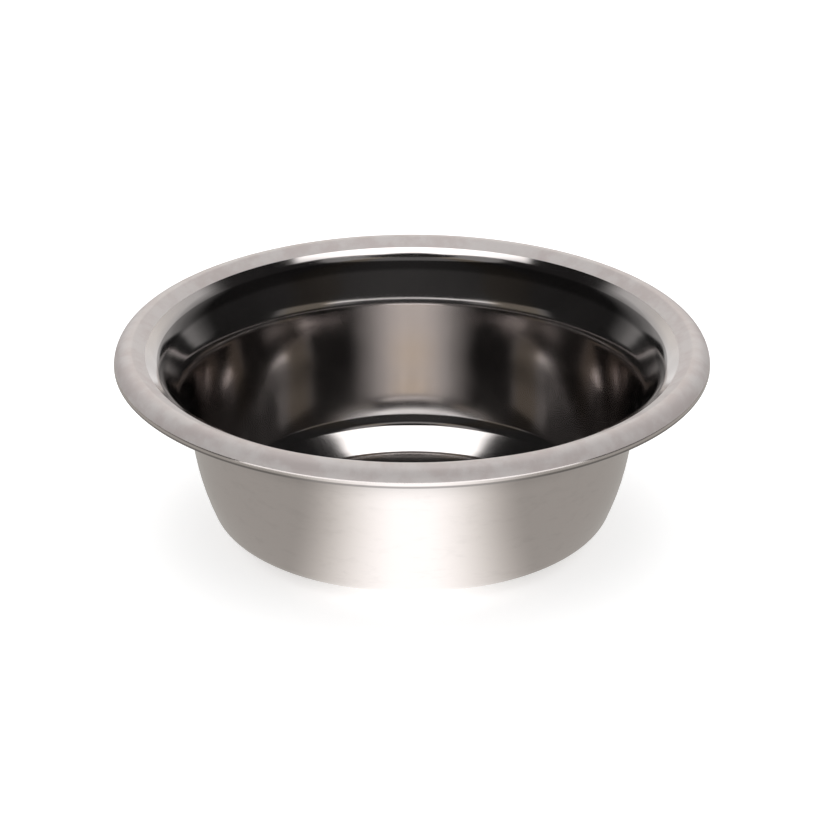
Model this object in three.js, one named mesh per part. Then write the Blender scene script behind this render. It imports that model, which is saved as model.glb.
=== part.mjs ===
// Stainless steel pet bowl: one round blank of sheet, drawn into a bowl and turned over at its rim.
// Units are millimetres and degrees. +Z is up. The origin is under the middle of the bowl, on the
// plane it stands on.
//
// The sheet is drawn as one path in the half plane of radius and height. The path follows the food
// side of the sheet from the middle of the floor out to the hidden edge under the rim, and the other
// side runs parallel to it, one sheet thickness away.

import * as THREE from 'three';

// Driving dimensions

const sheet = 0.6; // thickness of the steel
const height = 69.6; // underside of the base to the crest of the rim
const rimRadius = 105; // axis to the outside of the turned-down rim

const rimBendRadius = 5.8; // outside of the bend at the edge of the rim
const rimLipDrop = 0.2; // upright stretch of the lip below that bend
const rimHemRadius = 1.1; // outside of the safe edge folded in under the lip
const rimHemTail = 1.6; // what is left of the edge above the fold

const crestRadius = 2; // small round where the rim starts to slope in
const faceSlope = 28.4; // slope of the rim's flat face
const faceLength = 7.2; // length of that face down its slope
const shoulderRadius = 14; // round from the face into the neck
const neckSlope = 53; // slope of the neck between shoulder and throat
const neckLength = 8; // straight stretch of the neck

const wallTopRadius = 83.2; // food side of the wall, carried up to the height of the crest
const wallLean = 9.5; // lean of the wall from upright
const wallDepth = 39; // crest down to where the wall starts to curve in
const bellyEndLean = 23; // lean of the wall where it meets the corner
const cornerRadius = 7; // food side of the corner below the wall

const ringSlope = 25; // slope of the ring that leads down from the corner to the base
const baseRound = 3.5; // food side of the round between that ring and the base
const baseRadius = 55; // flat disc that the bowl stands on

const turns = 60; // facets round the bowl
const flatness = 0.08; // farthest a facet may stand off its arc

const steelColour = 0xc9c3bf;

const radians = THREE.MathUtils.degToRad;
const sinOf = (degrees) => Math.sin(radians(degrees));
const cosOf = (degrees) => Math.cos(radians(degrees));
const tanOf = (degrees) => Math.tan(radians(degrees));

// The path is walked outwards. Its heading is 0 along the floor and 90 straight up a wall, and each
// point keeps the heading so that the far side of the sheet can be set off from it.

function startPath(radius, level) {
  return { radius, level, heading: 0, points: [{ radius, level, heading: 0 }] };
}

function keepPoint(path) {
  path.points.push({ radius: path.radius, level: path.level, heading: path.heading });
}

function goStraight(path, length) {
  path.radius += length * cosOf(path.heading);
  path.level += length * sinOf(path.heading);
  keepPoint(path);
}

// Turns the path to a new heading along an arc. A rising heading turns to the left, a falling one to
// the right.
function turnTo(path, newHeading, arcRadius) {
  const turn = newHeading - path.heading;
  const side = Math.sign(turn);
  const centreRadius = path.radius - side * arcRadius * sinOf(path.heading);
  const centreLevel = path.level + side * arcRadius * cosOf(path.heading);
  const stepAngle = THREE.MathUtils.radToDeg(2 * Math.acos(1 - flatness / arcRadius));
  const steps = Math.ceil(Math.abs(turn) / stepAngle);
  const first = path.heading;
  for (let step = 1; step <= steps; step += 1) {
    path.heading = first + (turn * step) / steps;
    path.radius = centreRadius + side * arcRadius * sinOf(path.heading);
    path.level = centreLevel - side * arcRadius * cosOf(path.heading);
    keepPoint(path);
  }
}

// Headings of the wall and of the end of the belly, measured from the floor

const wallHeading = 90 - wallLean;
const bellyHeading = 90 - bellyEndLean;

// The sloping ring and the belly together take up what is left between the base and the straight
// wall. Their two lengths follow from the reach and the rise that they have to cover.

const wallFootLevel = height - wallDepth;
const wallFootRadius = wallTopRadius - wallDepth * tanOf(wallLean);
const baseRoundReach = baseRound * sinOf(ringSlope);
const baseRoundRise = baseRound * (1 - cosOf(ringSlope));
const cornerReach = cornerRadius * (sinOf(bellyHeading) - sinOf(ringSlope));
const cornerRise = cornerRadius * (cosOf(ringSlope) - cosOf(bellyHeading));
const reachLeft = wallFootRadius - baseRadius - baseRoundReach - cornerReach;
const riseLeft = wallFootLevel - sheet - baseRoundRise - cornerRise;
const bellyReach = sinOf(wallHeading) - sinOf(bellyHeading);
const bellyRise = cosOf(bellyHeading) - cosOf(wallHeading);
const spread = cosOf(ringSlope) * bellyRise - sinOf(ringSlope) * bellyReach;
const ringLength = (reachLeft * bellyRise - riseLeft * bellyReach) / spread;
const bellyRadius = (riseLeft * cosOf(ringSlope) - reachLeft * sinOf(ringSlope)) / spread;

// The foot of the neck, worked out from the rim inwards

const faceOuterRadius = rimRadius - rimBendRadius - crestRadius * sinOf(faceSlope);
const faceOuterLevel = height - crestRadius * (1 - cosOf(faceSlope));
const faceInnerRadius = faceOuterRadius - faceLength * cosOf(faceSlope);
const faceInnerLevel = faceOuterLevel - faceLength * sinOf(faceSlope);
const neckOuterRadius = faceInnerRadius - shoulderRadius * (sinOf(neckSlope) - sinOf(faceSlope));
const neckOuterLevel = faceInnerLevel - shoulderRadius * (cosOf(faceSlope) - cosOf(neckSlope));
const neckInnerRadius = neckOuterRadius - neckLength * cosOf(neckSlope);
const neckInnerLevel = neckOuterLevel - neckLength * sinOf(neckSlope);

// The throat is the round that joins the neck to the straight wall and touches both.

const wallRadiusThere = wallTopRadius - (height - neckInnerLevel) * tanOf(wallLean);
const throatReach = sinOf(wallHeading) - sinOf(neckSlope);
const throatDrop = cosOf(neckSlope) - cosOf(wallHeading);
const throatRadius = (neckInnerRadius - wallRadiusThere) / (throatReach - throatDrop * tanOf(wallLean));
const wallTopLevel = neckInnerLevel - throatRadius * throatDrop;
const wallLength = (wallTopLevel - wallFootLevel) / sinOf(wallHeading);

function foodSidePath() {
  const path = startPath(0, sheet);
  goStraight(path, baseRadius);
  turnTo(path, ringSlope, baseRound);
  goStraight(path, ringLength);
  turnTo(path, bellyHeading, cornerRadius);
  turnTo(path, wallHeading, bellyRadius);
  goStraight(path, wallLength);
  turnTo(path, neckSlope, throatRadius);
  goStraight(path, neckLength);
  turnTo(path, faceSlope, shoulderRadius);
  goStraight(path, faceLength);
  turnTo(path, 0, crestRadius);
  turnTo(path, -90, rimBendRadius);
  goStraight(path, rimLipDrop);
  turnTo(path, -270, rimHemRadius);
  goStraight(path, rimHemTail);
  return path.points;
}

// The underside lies one sheet thickness to the right of the path, square to its heading.
function farSide(point) {
  const radius = point.radius + sheet * sinOf(point.heading);
  const level = point.level - sheet * cosOf(point.heading);
  return new THREE.Vector2(radius, level);
}

function nearSide(point) {
  return new THREE.Vector2(point.radius, point.level);
}

function bowlShell() {
  const path = foodSidePath();
  const under = path.map(farSide);
  const food = path.map(nearSide).reverse();
  const geometry = new THREE.LatheGeometry([...under, ...food], turns);
  geometry.rotateX(Math.PI / 2);
  const steel = new THREE.MeshStandardMaterial({ color: steelColour, roughness: 0.18, metalness: 1 });
  const shell = new THREE.Mesh(geometry, steel);
  shell.name = 'bowl_shell';
  return shell;
}

const bowl = new THREE.Group();
bowl.add(bowlShell());

export default bowl;
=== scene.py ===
"""Stainless steel pet bowl, spun from one sheet, in a small pale studio.

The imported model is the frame: the rim's radius and the height come from it, and the spun shell
takes the place of its faceted shell. Lengths are metres, angles are radians, and +Z is up.
"""

import math

import bmesh
import bpy
from bpy.props import FloatProperty, FloatVectorProperty, IntProperty, PointerProperty
from bpy.types import Operator, Panel, PropertyGroup
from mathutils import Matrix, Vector


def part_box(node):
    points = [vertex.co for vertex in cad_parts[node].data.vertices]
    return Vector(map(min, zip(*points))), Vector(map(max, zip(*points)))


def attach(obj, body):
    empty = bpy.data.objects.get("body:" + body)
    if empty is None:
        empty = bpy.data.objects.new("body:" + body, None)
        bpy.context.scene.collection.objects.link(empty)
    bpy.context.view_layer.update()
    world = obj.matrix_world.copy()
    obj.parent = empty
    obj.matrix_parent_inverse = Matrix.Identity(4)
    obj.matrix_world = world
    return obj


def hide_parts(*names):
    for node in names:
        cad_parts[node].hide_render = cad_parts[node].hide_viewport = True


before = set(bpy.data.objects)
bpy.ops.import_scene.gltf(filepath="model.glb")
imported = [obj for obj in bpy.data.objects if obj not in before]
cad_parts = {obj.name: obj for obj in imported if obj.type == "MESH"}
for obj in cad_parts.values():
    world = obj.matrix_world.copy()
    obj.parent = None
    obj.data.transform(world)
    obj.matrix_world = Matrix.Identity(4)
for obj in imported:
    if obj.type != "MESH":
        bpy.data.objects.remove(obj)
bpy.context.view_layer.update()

bl_info = {
    "name": "Pet Bowl",
    "version": (1, 0, 0),
    "blender": (4, 5, 0),
    "location": "3D View > Sidebar > Pet Bowl",
    "description": "Spins a stainless steel pet bowl and sets a pale studio round it",
    "category": "Add Mesh",
}

CAD_NODE = "bowl_shell"
SHELL_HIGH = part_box(CAD_NODE)[1]

# Parts of a full turn.
QUARTER = math.pi / 2
HALF = math.pi
# Headings of the sheet at its folded edge: straight up again, then outwards at 45 degrees.
FOLDED_UP = -3.0 * QUARTER
FOLDED_OUT = FOLDED_UP - QUARTER / 2
LEAST_ARC_STEPS = 2
MERGE_DISTANCE = 1e-7

BLACK = (0.0, 0.0, 0.0)
WHITE = (1.0, 1.0, 1.0)
# The finishes, in the order of the shell's materials.
MIRROR, SATIN, POLISH = range(3)

# Patterns: the scale, detail and roughness of a noise.
HAZE = (40.0, 3.0, 0.5)
MOTTLE = (110.0, 5.0, 0.6)
BACKDROP_FOLDS = (9.0, 3.0, 0.5)
# Marks round the bowl: how fine across, how broken along, detail and roughness.
MIRROR_MARKS = (1400.0, 2.0, 2.0, 0.5)
SATIN_GRAIN = (2500.0, 400.0, 2.0, 0.5)
POLISH_MARKS = (900.0, 3.0, 3.0, 0.5)
SCUFFS = (260.0, 9.0, 4.0, 0.7)
# How far to each side of its middle a noise is used.
NOISE_REACH = 0.2
HAZE_REACH = 0.15
MOTTLE_REACH = 0.14
FOLD_REACH = 0.15
# The part of the scuffs' noise that goes from scuffed to unscuffed.
SCUFF_RANGE = (0.3, 0.5)
# Multiples of a finish's roughness that it varies between.
MIRROR_SPREAD = (0.8, 1.3)
SATIN_SPREAD = (0.9, 1.1)
POLISH_SPREAD = (0.85, 1.15)

# Blur at the edges of the studio's panels, as multiples of the soft edge.
BACKDROP_BLUR = 4.0
FOOT_BLUR = 3.0
SIDE_BLUR = 5.0

# The soft lamp: its place, its two sides and how bright its face looks.
LAMP_PLACE = (0.0, 0.55, 1.4)
LAMP_SIZE = (1.4, 1.0)
LAMP_LEVEL = 0.6

FLOOR_RADIUS = 12.0
FLOOR_SEGMENTS = 96
FLOOR_GAP = 0.0002
CAMERA_REACH = 50.0


def length(name, default, description):
    """A length that the sidebar shows with its unit."""
    return FloatProperty(
        name=name, description=description, default=default, min=0.0, precision=5,
        unit="LENGTH", subtype="DISTANCE",
    )


def angle(name, degrees, description):
    """An angle that the sidebar shows in degrees."""
    return FloatProperty(
        name=name, description=description, default=math.radians(degrees),
        unit="ROTATION", subtype="ANGLE",
    )


def share(name, default, description, top=1.0):
    """A plain number between nothing and its top value."""
    return FloatProperty(name=name, description=description, default=default, min=0.0, max=top)


def colour(name, default, description):
    """A linear colour."""
    return FloatVectorProperty(
        name=name, description=description, default=default, size=3, min=0.0, max=4.0,
        subtype="COLOR",
    )


class BowlSizes(PropertyGroup):
    rim_radius: length("Rim radius", SHELL_HIGH.x, "Axis to the outside of the rim")
    height: length("Height", SHELL_HIGH.z, "Plane it stands on up to the crest of the rim")
    sheet: length("Sheet", 0.0006, "Thickness of the steel")
    rim_bend: length("Rim bend", 0.0058, "Outside radius of the bend at the edge of the rim")
    lip_drop: length("Lip drop", 0.0002, "Upright stretch of the lip below the bend")
    hem_radius: length("Hem radius", 0.0011, "Outside radius of the safe edge's fold")
    hem_tail: length("Hem tail", 0.0016, "What is left of the edge above the fold")
    crest_radius: length("Crest round", 0.002, "Small round where the rim starts to slope in")
    face_slope: angle("Face slope", 28.4, "Slope of the rim's flat face")
    face_length: length("Face length", 0.0072, "Length of that face down its slope")
    shoulder_radius: length("Shoulder round", 0.014, "Round from the face into the neck")
    neck_slope: angle("Neck slope", 53.0, "Slope of the neck between shoulder and throat")
    neck_length: length("Neck length", 0.008, "Straight stretch of the neck")
    wall_top_radius: length("Wall top", 0.0832, "Food side of the wall, carried up to the crest")
    wall_lean: angle("Wall lean", 9.5, "Lean of the wall from upright")
    wall_depth: length("Wall depth", 0.039, "Crest down to where the wall starts to curve in")
    belly_lean: angle("Belly lean", 23.0, "Lean of the wall where it meets the corner")
    corner_radius: length("Corner round", 0.007, "Food side of the corner below the wall")
    ring_slope: angle("Ring slope", 25.0, "Slope of the ring from the corner down to the base")
    base_round: length("Base round", 0.0035, "Food side of the round between ring and base")
    base_radius: length("Base radius", 0.055, "Flat disc that the bowl stands on")
    satin_inner: length("Satin inside", 0.0947, "Radius where the satin of the rim face ends")
    satin_lip: angle("Satin lip", 12.0, "Tilt of the bend, up from level, where the satin ends")
    turns: IntProperty(name="Turns", description="Facets round the bowl", default=240, min=24)
    run_step: length("Run step", 0.0035, "Longest edge along a straight run of the section")
    arc_step: angle("Arc step", 3.0, "Largest turn between two points of the section")


class SteelFinish(PropertyGroup):
    steel: colour("Steel", (0.66, 0.62, 0.605), "Colour of the polished steel")
    satin: colour("Satin", (0.7, 0.655, 0.64), "Colour of the satin rim face")
    satin_dull: colour("Satin dull", (0.62, 0.555, 0.54), "Colour of its duller patches")
    # The darkening of the satin at the rim's bend is painted shade.
    bend_shade_share: share("Bend share", 0.84, "What is left of its shade at the foot of the bend")
    bend_shade_reach: share("Bend reach", 0.7, "Height of that shading, as a share of the bend")
    satin_metal: share("Satin metal", 0.35, "How much of the satin mirrors rather than scatters")
    inside_rough: share("Inside roughness", 0.1, "Roughness of the mirror polish inside")
    outside_rough: share("Outside roughness", 0.14, "Roughness of the softer polish outside")
    satin_rough: share("Satin roughness", 0.5, "Roughness of the rim face")
    mark_relief: share("Mark relief", 0.05, "Strength of the polishing marks inside")
    mark_depth: length("Mark depth", 0.00001, "Depth of those marks")
    grain_relief: share("Grain relief", 0.2, "Strength of the grain of the satin")
    grain_depth: length("Grain depth", 0.00003, "Depth of that grain")
    outside_relief: share("Outside relief", 0.12, "Strength of the polishing marks outside")
    outside_depth: length("Outside depth", 0.00002, "Depth of those marks")
    haze_share: share("Haze share", 0.94, "What the haze inside leaves of the shine")
    scuff_share: share("Scuff share", 0.96, "What the scuffs outside leave of the shine")
    # The dark ring inside at the shoulder is painted shade: darker base colour standing in for a
    # dark reflection.
    shoulder_shade_start: length("Ring start", 0.086, "Radius where the dark ring at the shoulder starts")
    shoulder_shade_inner: length("Ring inside", 0.0875, "Radius from which that ring is darkest")
    shoulder_shade_outer: length("Ring outside", 0.0896, "Radius up to which it is darkest")
    shoulder_shade_end: length("Ring end", 0.0902, "Radius where it ends")
    shoulder_shade_share: share("Ring share", 0.5, "What is left of the shine there")
    # The darkening of the outside towards the folded edge is painted shade, lifted again on the lip
    # above the fold.
    rim_shade_start: length("Rim shade start", 0.044, "Level where the outside starts to get duller")
    rim_shade_end: length("Rim shade end", 0.0625, "Level of the folded edge, where it is dullest")
    rim_shade_share: share("Rim shade share", 0.42, "What is left of the shine there")
    lip_start: length("Lip start", 0.0632, "Level of the lip where the shine starts to come back")
    lip_end: length("Lip end", 0.064, "Level of the lip where it is all back")


class StudioSettings(PropertyGroup):
    elevation: angle("Elevation", 23.72, "Height of the camera above the rim's middle")
    distance: length("Distance", 1.47, "Camera to the rim's middle")
    lens: FloatProperty(name="Lens", description="Focal length", default=182.3, unit="CAMERA")
    dip: angle("Dip", 0.956, "How far below the rim's middle the camera aims")
    room: share("Room", 0.012, "Brightness of the dark room as the bowl sees it")
    room_front: share("Room front", 0.036, "Brightness of the room on the camera's side")
    soft_edge: angle("Soft edge", 1.0, "Half width of the blur at the edges of the pale panels")
    backdrop_top: angle("Backdrop top", 46.0, "Height of the white backdrop behind the bowl")
    backdrop_fade: angle("Backdrop middle", 5.0, "Half width of its brightest part")
    backdrop_side: angle("Backdrop side", 71.0, "Half width at which it has faded")
    backdrop_level: share("Backdrop level", 1.07, "Brightness of its middle", top=4.0)
    foot_start: angle("Foot start", 18.0, "Turn from its middle where its foot starts to rise")
    foot_end: angle("Foot end", 32.0, "Turn from its middle where its foot has risen")
    foot_rise: angle("Foot rise", 11.0, "How high that foot is from there on")
    folds: share("Folds", 0.14, "How much darker its upright folds are")
    warm: colour("Warm", (1.0, 0.9, 0.75), "Tint of its upper part and of the dim side panel")
    warm_side: angle("Warm side", 40.0, "Half width at which that tint has faded")
    warm_start: angle("Warm start", 8.0, "Height where that tint starts")
    warm_top: angle("Warm top", 33.0, "Height where that tint is strongest")
    canopy_low: angle("Canopy foot", 65.0, "Lower edge of the bright panel overhead, at the back")
    canopy_high: angle("Canopy top", 82.5, "Upper edge of that panel")
    canopy_side: angle("Canopy side", 42.0, "Half turn that the panel covers")
    canopy_level: share("Canopy level", 2.2, "Brightness of the panel overhead", top=4.0)
    fill_low: angle("Fill foot", 71.0, "Lower edge of the dim ceiling")
    fill_high: angle("Fill top", 81.0, "Upper edge of the dim ceiling")
    fill_level: share("Fill level", 0.27, "Brightness of the dim ceiling", top=4.0)
    strip_start: angle("Strip start", 141.0, "Turn from the back where the front strip starts")
    strip_low: angle("Strip foot", 19.0, "Foot of the strip at the camera's side")
    strip_high: angle("Strip top", 21.6, "Top of that strip")
    strip_level: share("Strip level", 1.35, "Brightness of that strip", top=4.0)
    side_start: angle("Side start", 112.0, "Turn from the back where the dim side panel starts")
    side_end: angle("Side end", 148.0, "Turn from the back where it ends")
    side_low: angle("Side foot", 12.0, "Foot of the dim side panel")
    side_high: angle("Side top", 26.0, "Top of the dim side panel")
    side_level: share("Side level", 0.16, "Brightness of the dim side panel", top=4.0)
    # The pool and apron are a painted pool of light on the floor, which only the steel's
    # reflections see.
    pool_inner: angle("Pool middle", 3.0, "Half width of the brightest floor in front of the bowl")
    pool_outer: angle("Pool edge", 44.0, "Half width at which the bright floor has faded")
    pool_level: share("Pool level", 1.65, "Brightness that the bowl sees there", top=4.0)
    pool_behind: share("Pool behind", 0.4, "Share of that brightness on the floor behind the bowl")
    apron_side: angle("Apron side", 58.0, "Half width of the bright floor farther off")
    apron_start: length("Apron start", 0.25, "How far off that wide bright floor starts")
    apron_end: length("Apron end", 0.5, "How far off it is as bright as the pool")
    floor_level: share("Floor level", 0.45, "Brightness the bowl sees on the rest of the floor")
    floor_tint: colour("Floor tint", (1.0, 0.965, 0.91), "Tint that the bowl sees there")
    far_share: share("Far floor", 0.12, "What is left of that brightness far off, beside the apron")
    floor_colour: colour("Floor colour", (0.93, 0.93, 0.93), "Colour of the matt floor itself")
    floor_rough: share("Floor roughness", 0.9, "Roughness of the floor")
    floor_lift: share("Floor lift", 0.48, "What the floor adds to its own shade for the camera")
    ambient: share("Ambient", 0.9, "Level of the soft light from all round", top=4.0)


class SheetPath:
    """Walks the section of the sheet outwards in the plane of +X and +Z, as a chain of edges."""

    def __init__(self, mesh, start, sizes):
        self.mesh = mesh
        self.tip = mesh.verts.new(start)
        self.heading = 0.0
        self.sizes = sizes

    def along(self):
        """One metre in the present heading."""
        return Vector((math.cos(self.heading), 0.0, math.sin(self.heading)))

    def run(self, distance):
        """Goes straight on, in steps short enough to keep the shading even."""
        steps = max(1, math.ceil(distance / self.sizes.run_step))
        for _ in range(steps):
            grown = bmesh.ops.extrude_vert_indiv(self.mesh, verts=[self.tip])
            self.tip = grown["verts"][0]
            bmesh.ops.translate(self.mesh, verts=[self.tip], vec=self.along() * distance / steps)

    def turn(self, heading, radius):
        """Turns to a new heading along an arc: to the left when it rises, else to the right."""
        swing = heading - self.heading
        left = Vector((-math.sin(self.heading), 0.0, math.cos(self.heading)))
        centre = self.tip.co + left * math.copysign(radius, swing)
        steps = max(LEAST_ARC_STEPS, math.ceil(abs(swing) / self.sizes.arc_step))
        spun = bmesh.ops.spin(
            self.mesh, geom=[self.tip], cent=centre, axis=(0.0, -1.0, 0.0), angle=swing,
            steps=steps,
        )
        self.tip = next(part for part in spun["geom_last"] if isinstance(part, bmesh.types.BMVert))
        self.heading = heading


def throat_radius(sizes):
    """Round that touches both the neck and the straight wall, and the level where it ends."""
    face, neck = sizes.face_slope, sizes.neck_slope
    radius = sizes.rim_radius - sizes.rim_bend - sizes.crest_radius * math.sin(face)
    depth = sizes.crest_radius * (1.0 - math.cos(face))
    radius -= sizes.face_length * math.cos(face) + sizes.neck_length * math.cos(neck)
    depth += sizes.face_length * math.sin(face) + sizes.neck_length * math.sin(neck)
    radius -= sizes.shoulder_radius * (math.sin(neck) - math.sin(face))
    depth += sizes.shoulder_radius * (math.cos(face) - math.cos(neck))
    wall_there = sizes.wall_top_radius - depth * math.tan(sizes.wall_lean)
    reach = math.cos(sizes.wall_lean) - math.sin(neck)
    drop = math.cos(neck) - math.sin(sizes.wall_lean)
    throat = (radius - wall_there) / (reach - drop * math.tan(sizes.wall_lean))
    return throat, sizes.height - depth - throat * drop


def ring_and_belly(sizes):
    """Length of the sloping ring and radius of the belly, which together join base and wall."""
    slope, lean, foot = sizes.ring_slope, sizes.wall_lean, sizes.belly_lean
    reach = sizes.wall_top_radius - sizes.wall_depth * math.tan(lean) - sizes.base_radius
    reach -= sizes.base_round * math.sin(slope)
    reach -= sizes.corner_radius * (math.cos(foot) - math.sin(slope))
    rise = sizes.height - sizes.wall_depth - sizes.sheet
    rise -= sizes.base_round * (1.0 - math.cos(slope))
    rise -= sizes.corner_radius * (math.cos(slope) - math.sin(foot))
    belly_reach = math.cos(lean) - math.cos(foot)
    belly_rise = math.sin(foot) - math.sin(lean)
    spread = math.cos(slope) * belly_rise - math.sin(slope) * belly_reach
    ring = (reach * belly_rise - rise * belly_reach) / spread
    belly = (rise * math.cos(slope) - reach * math.sin(slope)) / spread
    return ring, belly


def draw_section(mesh, sizes):
    """Draws the food side of the sheet, from the middle of the floor to its edge under the rim."""
    ring, belly = ring_and_belly(sizes)
    throat, wall_top = throat_radius(sizes)
    wall = QUARTER - sizes.wall_lean
    path = SheetPath(mesh, (0.0, 0.0, sizes.sheet), sizes)
    path.run(sizes.base_radius)
    path.turn(sizes.ring_slope, sizes.base_round)
    path.run(ring)
    path.turn(QUARTER - sizes.belly_lean, sizes.corner_radius)
    path.turn(wall, belly)
    path.run((wall_top - (sizes.height - sizes.wall_depth)) / math.sin(wall))
    path.turn(sizes.neck_slope, throat)
    path.run(sizes.neck_length)
    path.turn(sizes.face_slope, sizes.shoulder_radius)
    path.run(sizes.face_length)
    path.turn(0.0, sizes.crest_radius)
    path.turn(sizes.satin_lip - QUARTER, sizes.rim_bend)
    path.turn(-QUARTER, sizes.rim_bend)
    path.run(sizes.lip_drop)
    path.turn(FOLDED_UP, sizes.hem_radius)
    path.turn(FOLDED_OUT, sizes.hem_radius)
    path.run(sizes.hem_tail)


def spin_shell(sizes):
    """Spins the section once round the axis and closes its pole."""
    mesh = bmesh.new()
    draw_section(mesh, sizes)
    bmesh.ops.spin(
        mesh, geom=mesh.verts[:] + mesh.edges[:], cent=(0.0, 0.0, 0.0), axis=(0.0, 0.0, 1.0),
        angle=2.0 * math.pi, steps=sizes.turns, use_merge=True,
    )
    bmesh.ops.remove_doubles(mesh, verts=mesh.verts, dist=MERGE_DISTANCE)
    bmesh.ops.recalc_face_normals(mesh, faces=mesh.faces)
    middle = min(mesh.faces, key=lambda face: face.calc_center_median().length)
    if middle.normal.z < 0.0:
        bmesh.ops.reverse_faces(mesh, faces=mesh.faces)
    return mesh


def mark_finishes(mesh, sizes):
    """Gives each face its finish: mirror inside, satin on the rim face, polish below that."""
    lip_level = sizes.height - sizes.rim_bend * (1.0 - math.sin(sizes.satin_lip))
    for face in mesh.faces:
        face.smooth = True
        centre = face.calc_center_median()
        if math.hypot(centre.x, centre.y) <= sizes.satin_inner:
            face.material_index = MIRROR
        else:
            face.material_index = SATIN if centre.z > lip_level else POLISH


def add_node(tree, kind, **values):
    """Adds a node and sets its own settings, or its sockets by name."""
    node = tree.nodes.new(kind)
    for name, value in values.items():
        if hasattr(node, name):
            setattr(node, name, value)
        else:
            node.inputs[name.replace("_", " ")].default_value = value
    return node


def calculate(tree, operation, *values):
    """A Math node on numbers or sockets. Returns its result socket."""
    node = add_node(tree, "ShaderNodeMath", operation=operation)
    for socket, value in zip(node.inputs, values):
        if isinstance(value, (int, float)):
            socket.default_value = value
        else:
            tree.links.new(value, socket)
    return node.outputs[0]


def stretch(tree, value, low, high, new_low, new_high, smooth=True):
    """Maps a range of a value onto another, with soft ends unless told otherwise."""
    node = add_node(tree, "ShaderNodeMapRange")
    node.interpolation_type = "SMOOTHSTEP" if smooth else "LINEAR"
    node.inputs["From Min"].default_value = low
    node.inputs["From Max"].default_value = high
    node.inputs["To Min"].default_value = new_low
    node.inputs["To Max"].default_value = new_high
    tree.links.new(value, node.inputs["Value"])
    return node.outputs["Result"]


def new_material(name):
    """An empty node material with its shader. Returns the material, tree and shader."""
    material = bpy.data.materials.new(name)
    material.use_nodes = True
    tree = material.node_tree
    shader = tree.nodes["Principled BSDF"]
    shader.inputs["Metallic"].default_value = 1.0
    return material, tree, shader


def place_parts(tree, kind="Object"):
    """The X, Y and Z of a texture coordinate, as three sockets."""
    parts = add_node(tree, "ShaderNodeSeparateXYZ")
    tree.links.new(add_node(tree, "ShaderNodeTexCoord").outputs[kind], parts.inputs[0])
    return [parts.outputs[axis] for axis in "XYZ"]


def axis_distance(tree, x, y):
    """How far a point is from the axis of the bowl."""
    squares = [calculate(tree, "POWER", part, 2.0) for part in (x, y)]
    return calculate(tree, "SQRT", calculate(tree, "ADD", *squares))


def turned_position(tree, fineness, around):
    """Position wrapped round the axis, so that a pattern follows the tool marks of the spinning."""
    x, y, z = place_parts(tree)
    radius = axis_distance(tree, x, y)
    joined = add_node(tree, "ShaderNodeCombineXYZ")
    east = calculate(tree, "DIVIDE", x, radius)
    north = calculate(tree, "DIVIDE", y, radius)
    spread = calculate(tree, "MULTIPLY", radius, fineness)
    lift = calculate(tree, "MULTIPLY", z, fineness)
    tree.links.new(calculate(tree, "MULTIPLY", east, around), joined.inputs["X"])
    tree.links.new(calculate(tree, "MULTIPLY", north, around), joined.inputs["Y"])
    tree.links.new(calculate(tree, "ADD", spread, lift), joined.inputs["Z"])
    return joined.outputs[0]


def cloudy(tree, place, scale, detail, roughness):
    """A noise at a scale. Returns its value socket."""
    noise = add_node(tree, "ShaderNodeTexNoise", Scale=scale, Detail=detail, Roughness=roughness)
    tree.links.new(place, noise.inputs["Vector"])
    return noise.outputs["Fac"]


def fixed_clouds(tree, scale, detail, roughness):
    """A noise fixed to the piece."""
    place = add_node(tree, "ShaderNodeTexCoord").outputs["Object"]
    return cloudy(tree, place, scale, detail, roughness)


def spun_marks(tree, fineness, around, detail, roughness):
    """A noise drawn out round the bowl."""
    return cloudy(tree, turned_position(tree, fineness, around), 1.0, detail, roughness)


def vary(tree, noise, low, high, reach=NOISE_REACH):
    """Maps the middle of a noise onto a range."""
    return stretch(tree, noise, 0.5 - reach, 0.5 + reach, low, high)


def vary_roughness(tree, shader, noise, middle, spread):
    """Lets the roughness go with a noise between two multiples of its middle value."""
    rough = vary(tree, noise, middle * spread[0], middle * spread[1])
    tree.links.new(rough, shader.inputs["Roughness"])


def mix_colours(tree, amount, first, second):
    """Goes from the first colour to the second by an amount. Returns the colour socket."""
    mix = add_node(tree, "ShaderNodeMix", data_type="RGBA")
    mix.inputs["A"].default_value = (*first, 1.0)
    mix.inputs["B"].default_value = (*second, 1.0)
    tree.links.new(amount, mix.inputs["Factor"])
    return mix.outputs["Result"]


def add_bump(tree, shader, relief, strength, depth):
    """Raises and sinks the surface by a relief value."""
    bump = add_node(tree, "ShaderNodeBump", Strength=strength, Distance=depth)
    tree.links.new(relief, bump.inputs["Height"])
    tree.links.new(bump.outputs[0], shader.inputs["Normal"])


def mirror_steel(finish):
    """Bright mirror inside, with faint haze, polishing marks and a painted dark reflection at the
    shoulder.
    """
    material, tree, shader = new_material("mirror_steel")
    haze = fixed_clouds(tree, *HAZE)
    vary_roughness(tree, shader, haze, finish.inside_rough, MIRROR_SPREAD)
    x, y, _ = place_parts(tree)
    radius = axis_distance(tree, x, y)
    # Painted shade: a ring at the shoulder where the base colour goes darker, as a painted dark
    # reflection.
    outwards = stretch(tree, radius, finish.shoulder_shade_outer, finish.shoulder_shade_end, 0.0, 1.0)
    inwards = stretch(tree, radius, finish.shoulder_shade_start, finish.shoulder_shade_inner, 1.0, 0.0)
    ring_shade = calculate(tree, "MAXIMUM", outwards, inwards)
    ring_shade = stretch(tree, ring_shade, 0.0, 1.0, finish.shoulder_shade_share, 1.0)
    hazy = vary(tree, haze, finish.haze_share, 1.0, HAZE_REACH)
    shade_and_blemishes = calculate(tree, "MULTIPLY", ring_shade, hazy)
    tree.links.new(mix_colours(tree, shade_and_blemishes, BLACK, finish.steel), shader.inputs["Base Color"])
    marks = spun_marks(tree, *MIRROR_MARKS)
    add_bump(tree, shader, marks, finish.mark_relief, finish.mark_depth)
    return material


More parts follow.
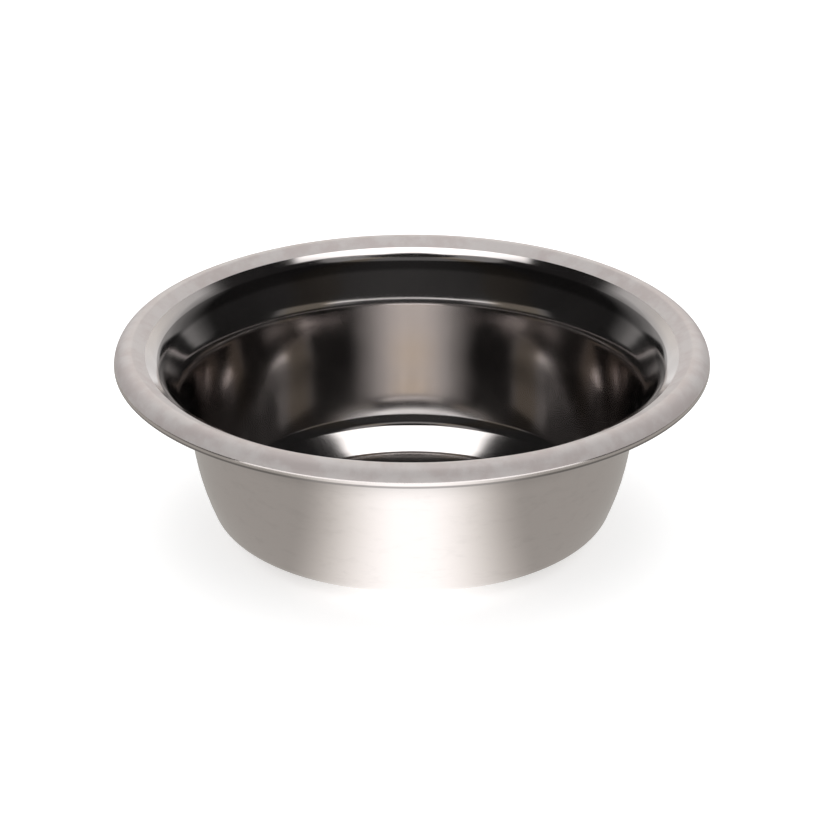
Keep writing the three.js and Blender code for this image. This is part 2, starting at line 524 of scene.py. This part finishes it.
def satin_steel(finish, sizes):
    """Finely grained satin with a soft mottle, rosy where it is duller, and painted shade darker at
    the bend.
    """
    material, tree, shader = new_material("satin_steel")
    shader.inputs["Metallic"].default_value = finish.satin_metal
    mottle = fixed_clouds(tree, *MOTTLE)
    vary_roughness(tree, shader, mottle, finish.satin_rough, SATIN_SPREAD)
    fresh = vary(tree, mottle, 0.0, 1.0, MOTTLE_REACH)
    level = place_parts(tree)[2]
    # Painted shade: the base colour gets darker towards the foot of the rim's bend.
    bend_foot = sizes.height - sizes.rim_bend
    bend_top = bend_foot + finish.bend_shade_reach * sizes.rim_bend
    bend = stretch(tree, level, bend_foot, bend_top, finish.bend_shade_share, 1.0)
    shaded = add_node(tree, "ShaderNodeVectorMath", operation="SCALE")
    tree.links.new(mix_colours(tree, fresh, finish.satin_dull, finish.satin), shaded.inputs[0])
    tree.links.new(bend, shaded.inputs["Scale"])
    tree.links.new(shaded.outputs[0], shader.inputs["Base Color"])
    grain = spun_marks(tree, *SATIN_GRAIN)
    add_bump(tree, shader, grain, finish.grain_relief, finish.grain_depth)
    return material


def polished_steel(finish):
    """Softer polish outside, with painted shade towards the folded edge and marks that run round
    the bowl.
    """
    material, tree, shader = new_material("polished_steel")
    marks = spun_marks(tree, *POLISH_MARKS)
    vary_roughness(tree, shader, marks, finish.outside_rough, POLISH_SPREAD)
    level = place_parts(tree)[2]
    # Painted shade: the base colour darkens up the outside wall to the fold of the edge, then comes
    # back on the lip.
    wall = stretch(tree, level, finish.rim_shade_start, finish.rim_shade_end, 1.0, finish.rim_shade_share)
    lip = stretch(tree, level, finish.lip_start, finish.lip_end, 0.0, 1.0)
    shade_and_blemishes = calculate(tree, "MAXIMUM", wall, lip)
    scuffed = stretch(tree, spun_marks(tree, *SCUFFS), *SCUFF_RANGE, finish.scuff_share, 1.0)
    shade_and_blemishes = calculate(tree, "MULTIPLY", shade_and_blemishes, scuffed)
    tree.links.new(mix_colours(tree, shade_and_blemishes, BLACK, finish.steel), shader.inputs["Base Color"])
    add_bump(tree, shader, marks, finish.outside_relief, finish.outside_depth)
    return material


class BOWL_OT_shell(Operator):
    """Spin the bowl from its sheet and finish its inside, rim face and outside"""

    bl_idname = "bowl.shell"
    bl_label = "Bowl Shell"

    def execute(self, context):
        sizes = context.scene.bowl_sizes
        finish = context.scene.bowl_finish
        mesh = spin_shell(sizes)
        mark_finishes(mesh, sizes)
        data = bpy.data.meshes.new("spun_bowl")
        mesh.to_mesh(data)
        mesh.free()
        shell = bpy.data.objects.new("spun_bowl", data)
        context.scene.collection.objects.link(shell)
        for material in (mirror_steel(finish), satin_steel(finish, sizes), polished_steel(finish)):
            data.materials.append(material)
        wall = shell.modifiers.new("sheet", "SOLIDIFY")
        wall.thickness = sizes.sheet
        wall.offset = -1.0
        wall.use_even_offset = True
        # The back of every face gets the polish, as an offset stops at the last finish.
        wall.material_offset = POLISH
        wall.material_offset_rim = POLISH
        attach(shell, "root")
        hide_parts(CAD_NODE)
        return {"FINISHED"}


def floor_material(studio):
    """White to the camera, with the bowl's shadow. To the steel, a painted pool of light before and
    behind it.
    """
    material = bpy.data.materials.new("floor_white")
    material.use_nodes = True
    tree = material.node_tree
    shader = tree.nodes["Principled BSDF"]
    shader.inputs["Base Color"].default_value = (*studio.floor_colour, 1.0)
    shader.inputs["Roughness"].default_value = studio.floor_rough
    shader.inputs["Specular IOR Level"].default_value = 0.0
    shader.inputs["Emission Color"].default_value = (*WHITE, 1.0)
    rays = add_node(tree, "ShaderNodeLightPath")
    lift = calculate(tree, "MULTIPLY", rays.outputs["Is Camera Ray"], studio.floor_lift)
    tree.links.new(lift, shader.inputs["Emission Strength"])
    # Painted light: a pool of light on the floor that only glossy rays see, in front of the bowl
    # and behind it.
    right, back, _ = place_parts(tree)
    ahead = calculate(tree, "MULTIPLY", back, -1.0)
    turn = calculate(tree, "ABSOLUTE", calculate(tree, "ARCTAN2", right, ahead))
    near = stretch(tree, turn, studio.pool_inner, studio.pool_outer, 1.0, 0.0)
    wide = stretch(tree, turn, studio.apron_side, studio.apron_side + studio.pool_inner, 1.0, 0.0)
    distance = calculate(tree, "MAXIMUM", calculate(tree, "ABSOLUTE", right), ahead)
    far = stretch(tree, distance, studio.apron_start, studio.apron_end, 0.0, 1.0)
    pool = calculate(tree, "MAXIMUM", near, calculate(tree, "MULTIPLY", wide, far))
    behind = stretch(tree, turn, HALF - studio.pool_outer, HALF, 0.0, studio.pool_behind)
    pool = calculate(tree, "MAXIMUM", pool, behind)
    glow = stretch(tree, pool, 0.0, 1.0, studio.floor_level, studio.pool_level, smooth=False)
    beyond = calculate(tree, "MULTIPLY", far, calculate(tree, "SUBTRACT", 1.0, wide))
    kept = stretch(tree, beyond, 0.0, 1.0, 1.0, studio.far_share)
    seen = add_node(tree, "ShaderNodeEmission")
    tree.links.new(calculate(tree, "MULTIPLY", glow, kept), seen.inputs["Strength"])
    tree.links.new(mix_colours(tree, pool, studio.floor_tint, WHITE), seen.inputs["Color"])
    choice = add_node(tree, "ShaderNodeMixShader")
    tree.links.new(rays.outputs["Is Glossy Ray"], choice.inputs["Fac"])
    tree.links.new(shader.outputs[0], choice.inputs[1])
    tree.links.new(seen.outputs[0], choice.inputs[2])
    tree.links.new(choice.outputs[0], tree.nodes["Material Output"].inputs["Surface"])
    return material


def add_floor(context, studio):
    """A wide pale floor, a hair below the plane that the bowl stands on."""
    mesh = bmesh.new()
    bmesh.ops.create_circle(mesh, cap_ends=True, radius=FLOOR_RADIUS, segments=FLOOR_SEGMENTS)
    data = bpy.data.meshes.new("floor")
    mesh.to_mesh(data)
    mesh.free()
    floor = bpy.data.objects.new("floor", data)
    floor.location.z = -FLOOR_GAP
    context.scene.collection.objects.link(floor)
    data.materials.append(floor_material(studio))


def band(tree, value, low, high, soft):
    """1 between two values and 0 outside them, with soft edges."""
    rise = stretch(tree, value, low - soft, low + soft, 0.0, 1.0)
    fall = stretch(tree, value, high - soft, high + soft, 1.0, 0.0)
    return calculate(tree, "MULTIPLY", rise, fall)


def backdrop_brightness(tree, studio, turn, height):
    """The pale backdrop behind the bowl, with upright folds and a foot that rises to its sides."""
    level = stretch(
        tree, turn, studio.backdrop_fade, studio.backdrop_side, studio.backdrop_level, 0.0,
    )
    top, blur = studio.backdrop_top, BACKDROP_BLUR * studio.soft_edge
    below = stretch(tree, height, top - blur, top + blur, 1.0, 0.0)
    foot = stretch(tree, turn, studio.foot_start, studio.foot_end, 0.0, studio.foot_rise)
    over_foot = calculate(tree, "SUBTRACT", height, foot)
    above = stretch(tree, over_foot, 0.0, FOOT_BLUR * studio.soft_edge, 0.0, 1.0)
    across = add_node(tree, "ShaderNodeCombineXYZ")
    tree.links.new(turn, across.inputs["X"])
    folds = cloudy(tree, across.outputs[0], *BACKDROP_FOLDS)
    folds = vary(tree, folds, 1.0 - studio.folds, 1.0, FOLD_REACH)
    for part in (below, above, folds):
        level = calculate(tree, "MULTIPLY", level, part)
    return level


def warm_share(tree, studio, turn, height):
    """How far the light of a direction is warm: high on the backdrop and round the side panel."""
    rise = stretch(tree, height, studio.warm_start, studio.warm_top, 0.0, 1.0)
    fall = stretch(tree, height, studio.warm_top, studio.backdrop_top, 1.0, 0.0)
    middle = stretch(tree, turn, 0.0, studio.warm_side, 1.0, 0.0)
    upper = calculate(tree, "MULTIPLY", calculate(tree, "MULTIPLY", rise, fall), middle)
    blur = SIDE_BLUR * studio.soft_edge
    side = band(tree, turn, studio.side_start, studio.side_end - 2.0 * blur, blur)
    return calculate(tree, "MAXIMUM", upper, side)


def studio_panels(tree, studio):
    """What the steel sees by direction: a dark room with pale panels in it.

    Returns the brightness of a direction and how far its light is warm.
    """
    right, back, up = place_parts(tree, "Generated")
    turn = calculate(tree, "ABSOLUTE", calculate(tree, "ARCTAN2", right, back))
    height = calculate(tree, "ARCSINE", up)
    seen = stretch(tree, turn, QUARTER, HALF, studio.room, studio.room_front)
    seen = calculate(tree, "MAXIMUM", seen, backdrop_brightness(tree, studio, turn, height))
    panels = (
        (0.0, studio.canopy_side, studio.canopy_low, studio.canopy_high, studio.canopy_level),
        (0.0, HALF, studio.fill_low, studio.fill_high, studio.fill_level),
        (studio.strip_start, HALF, studio.strip_low, studio.strip_high, studio.strip_level),
        (studio.side_start, studio.side_end, studio.side_low, studio.side_high, studio.side_level),
    )
    blur = SIDE_BLUR * studio.soft_edge
    for start, end, low, high, level in panels:
        width = band(tree, turn, start - blur, end + blur, blur)
        tall = band(tree, height, low, high, studio.soft_edge)
        panel = calculate(tree, "MULTIPLY", calculate(tree, "MULTIPLY", tall, width), level)
        seen = calculate(tree, "MAXIMUM", seen, panel)
    return seen, warm_share(tree, studio, turn, height)


def set_world(context, studio):
    """White to the camera, a dark room with pale panels to the steel, even to the floor."""
    world = bpy.data.worlds.new("studio")
    context.scene.world = world
    world.use_nodes = True
    tree = world.node_tree
    background = tree.nodes["Background"]
    rays = add_node(tree, "ShaderNodeLightPath")
    glossy, camera = rays.outputs["Is Glossy Ray"], rays.outputs["Is Camera Ray"]
    panels, warmth = studio_panels(tree, studio)
    mirrored = calculate(tree, "MULTIPLY", panels, glossy)
    other_rays = calculate(tree, "SUBTRACT", calculate(tree, "SUBTRACT", 1.0, glossy), camera)
    even = calculate(tree, "MULTIPLY", other_rays, studio.ambient)
    total = calculate(tree, "ADD", calculate(tree, "ADD", mirrored, even), camera)
    tree.links.new(total, background.inputs["Strength"])
    amount = calculate(tree, "MULTIPLY", warmth, glossy)
    tree.links.new(mix_colours(tree, amount, WHITE, studio.warm), background.inputs["Color"])


def add_soft_lamp(context):
    """A soft rectangular lamp over the bowl, aimed at the middle of its base."""
    width, depth = LAMP_SIZE
    lamp = bpy.data.lights.new("top_box", "AREA")
    lamp.shape = "RECTANGLE"
    lamp.size, lamp.size_y = width, depth
    lamp.energy = LAMP_LEVEL * math.pi * width * depth
    box = bpy.data.objects.new("top_box", lamp)
    box.location = LAMP_PLACE
    box.rotation_euler = (Vector() - Vector(LAMP_PLACE)).to_track_quat("-Z", "Y").to_euler()
    box.visible_camera = False
    box.visible_glossy = False
    context.scene.collection.objects.link(box)


def add_camera(context, sizes, studio):
    """The photograph's view: level, square on, and a little above the rim."""
    camera = bpy.data.objects.new("camera", bpy.data.cameras.new("camera"))
    camera.data.lens = studio.lens
    camera.data.clip_end = CAMERA_REACH
    back = studio.distance * math.cos(studio.elevation)
    camera.location = (0.0, -back, sizes.height + studio.distance * math.sin(studio.elevation))
    camera.rotation_euler = (QUARTER - studio.elevation - studio.dip, 0.0, 0.0)
    context.scene.collection.objects.link(camera)
    context.scene.camera = camera


class BOWL_OT_studio(Operator):
    """Set the floor, the world, the soft lamp and the camera"""

    bl_idname = "bowl.studio"
    bl_label = "Studio"

    def execute(self, context):
        studio = context.scene.bowl_studio
        add_floor(context, studio)
        set_world(context, studio)
        add_soft_lamp(context)
        add_camera(context, context.scene.bowl_sizes, studio)
        context.scene.view_settings.view_transform = "Standard"
        return {"FINISHED"}


class BOWL_PT_sidebar(Panel):
    bl_idname = "BOWL_PT_sidebar"
    bl_label = "Pet Bowl"
    bl_space_type = "VIEW_3D"
    bl_region_type = "UI"
    bl_category = "Pet Bowl"

    def draw(self, context):
        for operator in (BOWL_OT_shell, BOWL_OT_studio):
            self.layout.operator(operator.bl_idname)
        scene = context.scene
        for group in (scene.bowl_sizes, scene.bowl_finish, scene.bowl_studio):
            column = self.layout.column(align=True)
            for name in group.__annotations__:
                column.prop(group, name)


CLASSES = (BowlSizes, SteelFinish, StudioSettings, BOWL_OT_shell, BOWL_OT_studio, BOWL_PT_sidebar)


def register():
    for item in CLASSES:
        bpy.utils.register_class(item)
    bpy.types.Scene.bowl_sizes = PointerProperty(type=BowlSizes)
    bpy.types.Scene.bowl_finish = PointerProperty(type=SteelFinish)
    bpy.types.Scene.bowl_studio = PointerProperty(type=StudioSettings)


def unregister():
    for name in ("bowl_studio", "bowl_finish", "bowl_sizes"):
        delattr(bpy.types.Scene, name)
    for item in reversed(CLASSES):
        bpy.utils.unregister_class(item)


def main():
    register()
    bpy.ops.bowl.shell()
    bpy.ops.bowl.studio()


if __name__ == "__main__":
    main()
